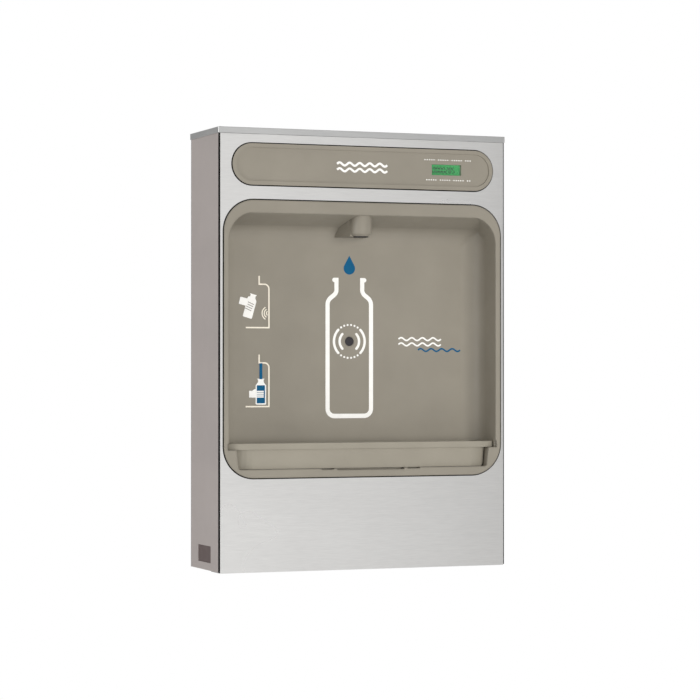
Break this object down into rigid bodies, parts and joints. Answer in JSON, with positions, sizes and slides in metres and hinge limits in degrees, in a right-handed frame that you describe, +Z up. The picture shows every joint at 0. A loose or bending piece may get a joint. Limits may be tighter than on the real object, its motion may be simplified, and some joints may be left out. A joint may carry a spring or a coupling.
{
  "type": "bottle filling station",
  "caption": "Wall-mounted bottle filling station: steel cabinet with a moulded alcove, sensor-operated nozzle, slide-out tray, display, water valve and drain.",
  "frame": {"origin": "centre of the rectangle of wall holes, on the wall plane at the back of the cabinet", "axes": "+X to the right seen from the front, +Y into the wall, +Z up"},
  "size_m": [0.457, 0.133, 0.647],
  "materials": {
    "grey_paint": "satin",
    "brushed_steel": "brushed",
    "zinc_steel": "zinc plated",
    "taupe_plastic": "fine grain",
    "black_rubber": "matte",
    "dark_plastic": "matte",
    "brown_plastic": "matte",
    "clear_window": "clear",
    "lcd_green": "gloss",
    "white_plastic": "satin",
    "circuit_board": "gloss",
    "button_red": "gloss",
    "brass": "machined",
    "stainless": "machined",
    "chromed_pipe": "polished",
    "blue_lever": "gloss",
    "water_tube": "satin",
    "cable_black": "matte",
    "copper": "wound",
    "sensor_glass": "gloss",
    "print_ink": "satin"
  },
  "bodies": {
    "cabinet": {"back_plate": "zinc_steel", "cabinet_shell": "grey_paint", "top_cover": "brushed_steel", "front_panel": "brushed_steel", "edge_strips": "black_rubber", "side_blank": "brown_plastic", "alcove_shell": "taupe_plastic", "alcove_gasket": "black_rubber", "alcove_nuts": "stainless", "header_bezel": "taupe_plastic", "header_gasket": "black_rubber", "header_nuts": "stainless", "display_lens": "clear_window", "lcd_glass": "lcd_green", "lcd_frame": "white_plastic", "control_board": "circuit_board", "board_connectors": "white_plastic", "board_parts": "dark_plastic", "board_screws": "stainless", "switch_body": "dark_plastic", "nozzle_cover": "taupe_plastic", "nozzle_body": "brass", "nozzle_aerator": "dark_plastic", "nozzle_nut": "brass", "nozzle_connector": "white_plastic", "nozzle_tube": "water_tube", "sensor_barrel": "dark_plastic", "sensor_window": "sensor_glass", "sensor_nut": "dark_plastic", "sensor_cable": "cable_black", "valve_body": "brass", "armature_tube": "stainless", "plunger_spring": "stainless", "valve_coil": "dark_plastic", "coil_nut": "stainless", "valve_bracket": "zinc_steel", "coil_cable": "cable_black", "supply_tube": "water_tube", "regulator_tube": "water_tube", "regulator_body": "white_plastic", "regulator_clip": "dark_plastic", "stop_valve_body": "brass", "inlet_nut": "brass", "drain_fitting": "stainless", "drain_nut": "dark_plastic", "drain_pipe": "chromed_pipe", "slip_nut": "dark_plastic", "power_case": "zinc_steel", "power_lid": "zinc_steel", "power_transformer": "copper", "power_cable": "cable_black", "cable_clips": "white_plastic", "cover_screws": "stainless", "panel_screws": "stainless", "wall_print": "print_ink"},
    "tray": {"bottle_tray": "taupe_plastic"},
    "plunger": {"valve_plunger": "stainless"},
    "lever": {"stop_valve_lever": "blue_lever"},
    "adjuster": {"regulator_screw": "dark_plastic"},
    "button": {"program_button": "button_red"}
  },
  "joints": [
    {"name": "tray_slide", "type": "slide", "parent": "cabinet", "child": "tray", "axis": [0, -1, 0], "range_m": [0, 0.062]},
    {"name": "plunger_lift", "type": "slide", "parent": "cabinet", "child": "plunger", "axis": [0, 0, 1], "range_m": [0, 0.0025], "stiffness_N_per_m": 300, "springref_m": -0.005, "deforming": ["plunger_spring"]},
    {"name": "stop_valve_turn", "type": "hinge", "parent": "cabinet", "child": "lever", "pos_m": [0.15, -0.0603, -0.2615], "axis": [0, -1, 0], "range_deg": [0, 90]},
    {"name": "flow_adjust", "type": "hinge", "parent": "cabinet", "child": "adjuster", "pos_m": [0.15, -0.048, -0.2035], "axis": [0, -1, 0], "range_deg": [-135, 135]},
    {"name": "button_press", "type": "slide", "parent": "cabinet", "child": "button", "axis": [0, 0, -1], "range_m": [0, 0.0008], "stiffness_N_per_m": 1500, "springref_m": -0.0008}
  ]
}
